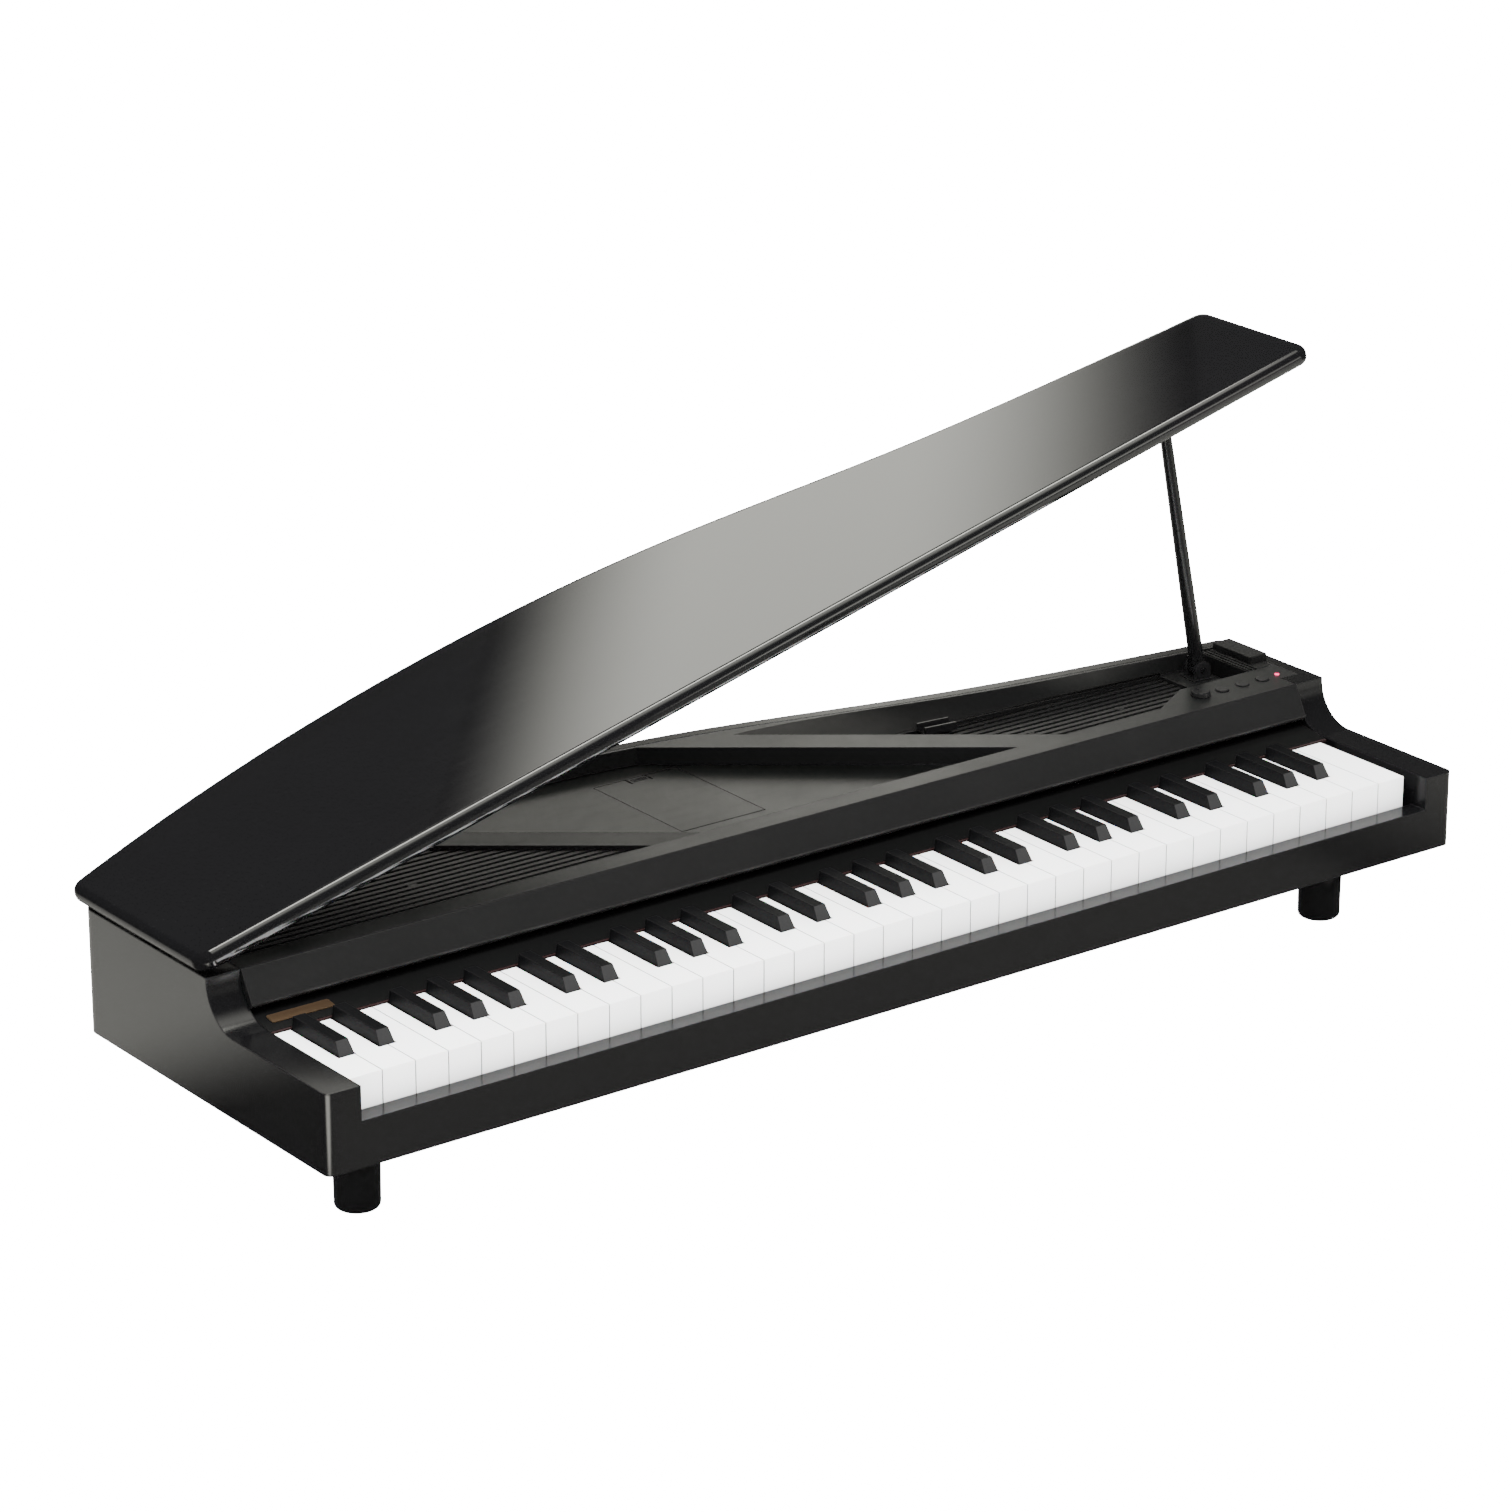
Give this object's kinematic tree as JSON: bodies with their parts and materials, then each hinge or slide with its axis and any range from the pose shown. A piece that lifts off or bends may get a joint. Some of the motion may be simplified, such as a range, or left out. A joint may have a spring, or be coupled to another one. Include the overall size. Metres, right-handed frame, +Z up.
{
  "type": "mini digital grand piano",
  "caption": "Tabletop mini digital piano shaped like a grand, with a curved lid on a folding stick, mini keys, sunken speaker grilles and short round legs.",
  "frame": {"origin": "on the floor, under the middle of the whole instrument: midway between the case's sides, 143 mm behind its front face", "axes": "+X along the keyboard from bass to treble, +Y from the player to the back, +Z up"},
  "size_m": [0.7874, 0.2857, 0.3334],
  "materials": {
    "gloss_shell": "high gloss black lacquer look",
    "satin_panel": "satin black moulding",
    "grille": "satin black slatted moulding",
    "hidden_plastic": "plain dark moulding",
    "white_keys": "gloss white",
    "black_keys": "satin black",
    "plate": "dull gold",
    "felt": "red felt",
    "rubber": "matte",
    "steel": "plated",
    "stick": "satin black",
    "controls": "satin black",
    "led": "clear red lens",
    "board": "green solder mask",
    "cell": "printed sleeve",
    "cone": "paper cone",
    "magnet": "plated ferrite",
    "wire": "insulated wire"
  },
  "bodies": {
    "case": {"battery_cells": "cell", "battery_contacts": "steel", "battery_tray": "hidden_plastic", "blank_plate": "plate", "bottom_cover": "hidden_plastic", "case_shell": "gloss_shell", "contact_domes": "rubber", "felt_strip": "felt", "foot_pads": "rubber", "grille_left": "grille", "grille_right": "grille", "headphone_socket": "controls", "hinge_bases": "steel", "hinge_pins": "steel", "housing_screws": "steel", "key_chassis": "hidden_plastic", "key_contact_board": "board", "key_pivot_rod": "steel", "key_stop_felt": "felt", "leg_nuts": "steel", "leg_studs": "steel", "legs": "gloss_shell", "lid_rest": "rubber", "main_board": "board", "name_strip": "satin_panel", "panel_board": "board", "power_socket": "controls", "prop_bracket": "controls", "prop_clip": "controls", "prop_pin": "steel", "socket_board": "board", "speaker_baskets": "steel", "speaker_cones": "cone", "speaker_magnets": "magnet", "speaker_screws": "steel", "status_led": "led", "top_panel": "satin_panel", "wires": "wire"},
    "lid": {"lid": "gloss_shell", "hinge_leaves": "steel", "prop_seat": "rubber"},
    "prop": {"prop_stick": "stick"},
    "battery_door": {"battery_cover": "satin_panel"},
    "volume": {"volume_knob": "controls", "volume_shaft": "steel"},
    "tone": {"tone_button": "controls"},
    "mode": {"mode_button": "controls"},
    "power": {"power_button": "controls"},
    "note_c": {"keys_c": "white_keys"},
    "note_c_sharp": {"keys_c_sharp": "black_keys"},
    "note_d": {"keys_d": "white_keys"},
    "note_d_sharp": {"keys_d_sharp": "black_keys"},
    "note_e": {"keys_e": "white_keys"},
    "note_f": {"keys_f": "white_keys"},
    "note_f_sharp": {"keys_f_sharp": "black_keys"},
    "note_g": {"keys_g": "white_keys"},
    "note_g_sharp": {"keys_g_sharp": "black_keys"},
    "note_a": {"keys_a": "white_keys"},
    "note_a_sharp": {"keys_a_sharp": "black_keys"},
    "note_b": {"keys_b": "white_keys"}
  },
  "joints": [
    {"name": "lid_hinge", "type": "hinge", "parent": "case", "child": "lid", "pos_m": [-0.3867, 0.039, 0.1231], "axis": [0, -1, 0], "range_deg": [0, 18]},
    {"name": "prop_fold", "type": "hinge", "parent": "case", "child": "prop", "pos_m": [0.3515, 0.039, 0.1185], "axis": [-0.1115, -0.9938, 0], "range_deg": [0, 79.4]},
    {"name": "battery_door_lift", "type": "hinge", "parent": "case", "child": "battery_door", "pos_m": [-0.02325, 0.01655, 0.11185], "axis": [1, 0, 0], "range_deg": [0, 60]},
    {"name": "volume_turn", "type": "hinge", "parent": "case", "child": "volume", "pos_m": [0.311, -0.01, 0.126], "axis": [0, 0, -1], "range_deg": [-150, 150]},
    {"name": "tone_press", "type": "slide", "parent": "case", "child": "tone", "axis": [0, 0, -1], "range_m": [0, 0.001], "stiffness_N_per_m": 400},
    {"name": "mode_press", "type": "slide", "parent": "case", "child": "mode", "axis": [0, 0, -1], "range_m": [0, 0.001], "stiffness_N_per_m": 400},
    {"name": "power_press", "type": "slide", "parent": "case", "child": "power", "axis": [0, 0, -1], "range_m": [0, 0.001], "stiffness_N_per_m": 400},
    {"name": "press_c", "type": "hinge", "parent": "case", "child": "note_c", "pos_m": [0, 0.007, 0.0905], "axis": [1, 0, 0], "range_deg": [0, 3], "stiffness_Nm_per_rad": 3, "springref_deg": -2.86},
    {"name": "press_c_sharp", "type": "hinge", "parent": "case", "child": "note_c_sharp", "pos_m": [0, 0.007, 0.0905], "axis": [1, 0, 0], "range_deg": [0, 3], "stiffness_Nm_per_rad": 3, "springref_deg": -2.86},
    {"name": "press_d", "type": "hinge", "parent": "case", "child": "note_d", "pos_m": [0, 0.007, 0.0905], "axis": [1, 0, 0], "range_deg": [0, 3], "stiffness_Nm_per_rad": 3, "springref_deg": -2.86},
    {"name": "press_d_sharp", "type": "hinge", "parent": "case", "child": "note_d_sharp", "pos_m": [0, 0.007, 0.0905], "axis": [1, 0, 0], "range_deg": [0, 3], "stiffness_Nm_per_rad": 3, "springref_deg": -2.86},
    {"name": "press_e", "type": "hinge", "parent": "case", "child": "note_e", "pos_m": [0, 0.007, 0.0905], "axis": [1, 0, 0], "range_deg": [0, 3], "stiffness_Nm_per_rad": 3, "springref_deg": -2.86},
    {"name": "press_f", "type": "hinge", "parent": "case", "child": "note_f", "pos_m": [0, 0.007, 0.0905], "axis": [1, 0, 0], "range_deg": [0, 3], "stiffness_Nm_per_rad": 3, "springref_deg": -2.86},
    {"name": "press_f_sharp", "type": "hinge", "parent": "case", "child": "note_f_sharp", "pos_m": [0, 0.007, 0.0905], "axis": [1, 0, 0], "range_deg": [0, 3], "stiffness_Nm_per_rad": 3, "springref_deg": -2.86},
    {"name": "press_g", "type": "hinge", "parent": "case", "child": "note_g", "pos_m": [0, 0.007, 0.0905], "axis": [1, 0, 0], "range_deg": [0, 3], "stiffness_Nm_per_rad": 3, "springref_deg": -2.86},
    {"name": "press_g_sharp", "type": "hinge", "parent": "case", "child": "note_g_sharp", "pos_m": [0, 0.007, 0.0905], "axis": [1, 0, 0], "range_deg": [0, 3], "stiffness_Nm_per_rad": 3, "springref_deg": -2.86},
    {"name": "press_a", "type": "hinge", "parent": "case", "child": "note_a", "pos_m": [0, 0.007, 0.0905], "axis": [1, 0, 0], "range_deg": [0, 3], "stiffness_Nm_per_rad": 3, "springref_deg": -2.86},
    {"name": "press_a_sharp", "type": "hinge", "parent": "case", "child": "note_a_sharp", "pos_m": [0, 0.007, 0.0905], "axis": [1, 0, 0], "range_deg": [0, 3], "stiffness_Nm_per_rad": 3, "springref_deg": -2.86},
    {"name": "press_b", "type": "hinge", "parent": "case", "child": "note_b", "pos_m": [0, 0.007, 0.0905], "axis": [1, 0, 0], "range_deg": [0, 3], "stiffness_Nm_per_rad": 3, "springref_deg": -2.86}
  ]
}
